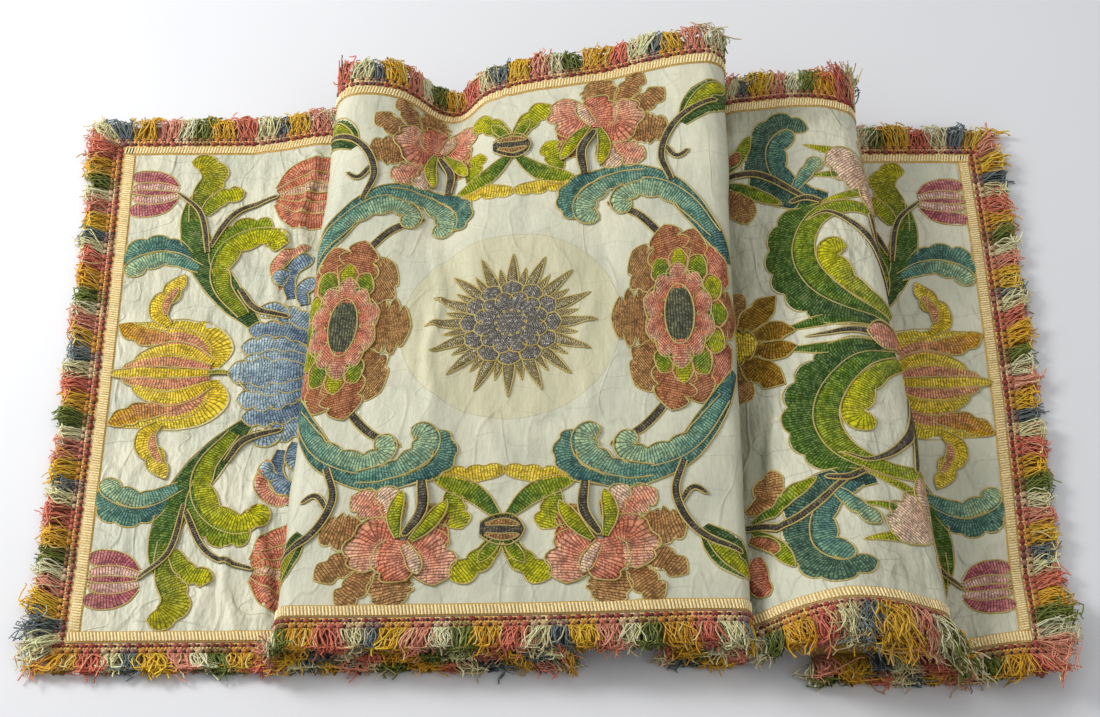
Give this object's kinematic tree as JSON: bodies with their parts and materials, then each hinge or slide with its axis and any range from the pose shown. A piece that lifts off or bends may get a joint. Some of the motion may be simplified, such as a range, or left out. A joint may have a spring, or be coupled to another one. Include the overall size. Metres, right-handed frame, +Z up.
{
  "type": "altar frontal",
  "caption": "Long embroidered altar cloth laid out in loose folds, with a woven galloon border and a looped fringe on all edges.",
  "frame": {"origin": "on the table, under the centre of the folded cloth's bounding box", "axes": "+X along the frontal's length, +Y from the front edge to the back edge, +Z up"},
  "size_m": [1.4042, 1.0294, 0.1889],
  "materials": {
    "ground": "worn ivory silk with satin-stitch embroidery",
    "galloon": "woven gold and cream braid",
    "fringe": "silk thread in blocks of rose, ochre, green, cream and blue-grey"
  },
  "bodies": {
    "root": {"cloth": "ground", "galloon_front": "galloon", "galloon_back": "galloon", "galloon_left": "galloon", "galloon_right": "galloon", "fringe_front": "fringe", "fringe_back": "fringe", "fringe_left": "fringe", "fringe_right": "fringe"}
  },
  "joints": []
}
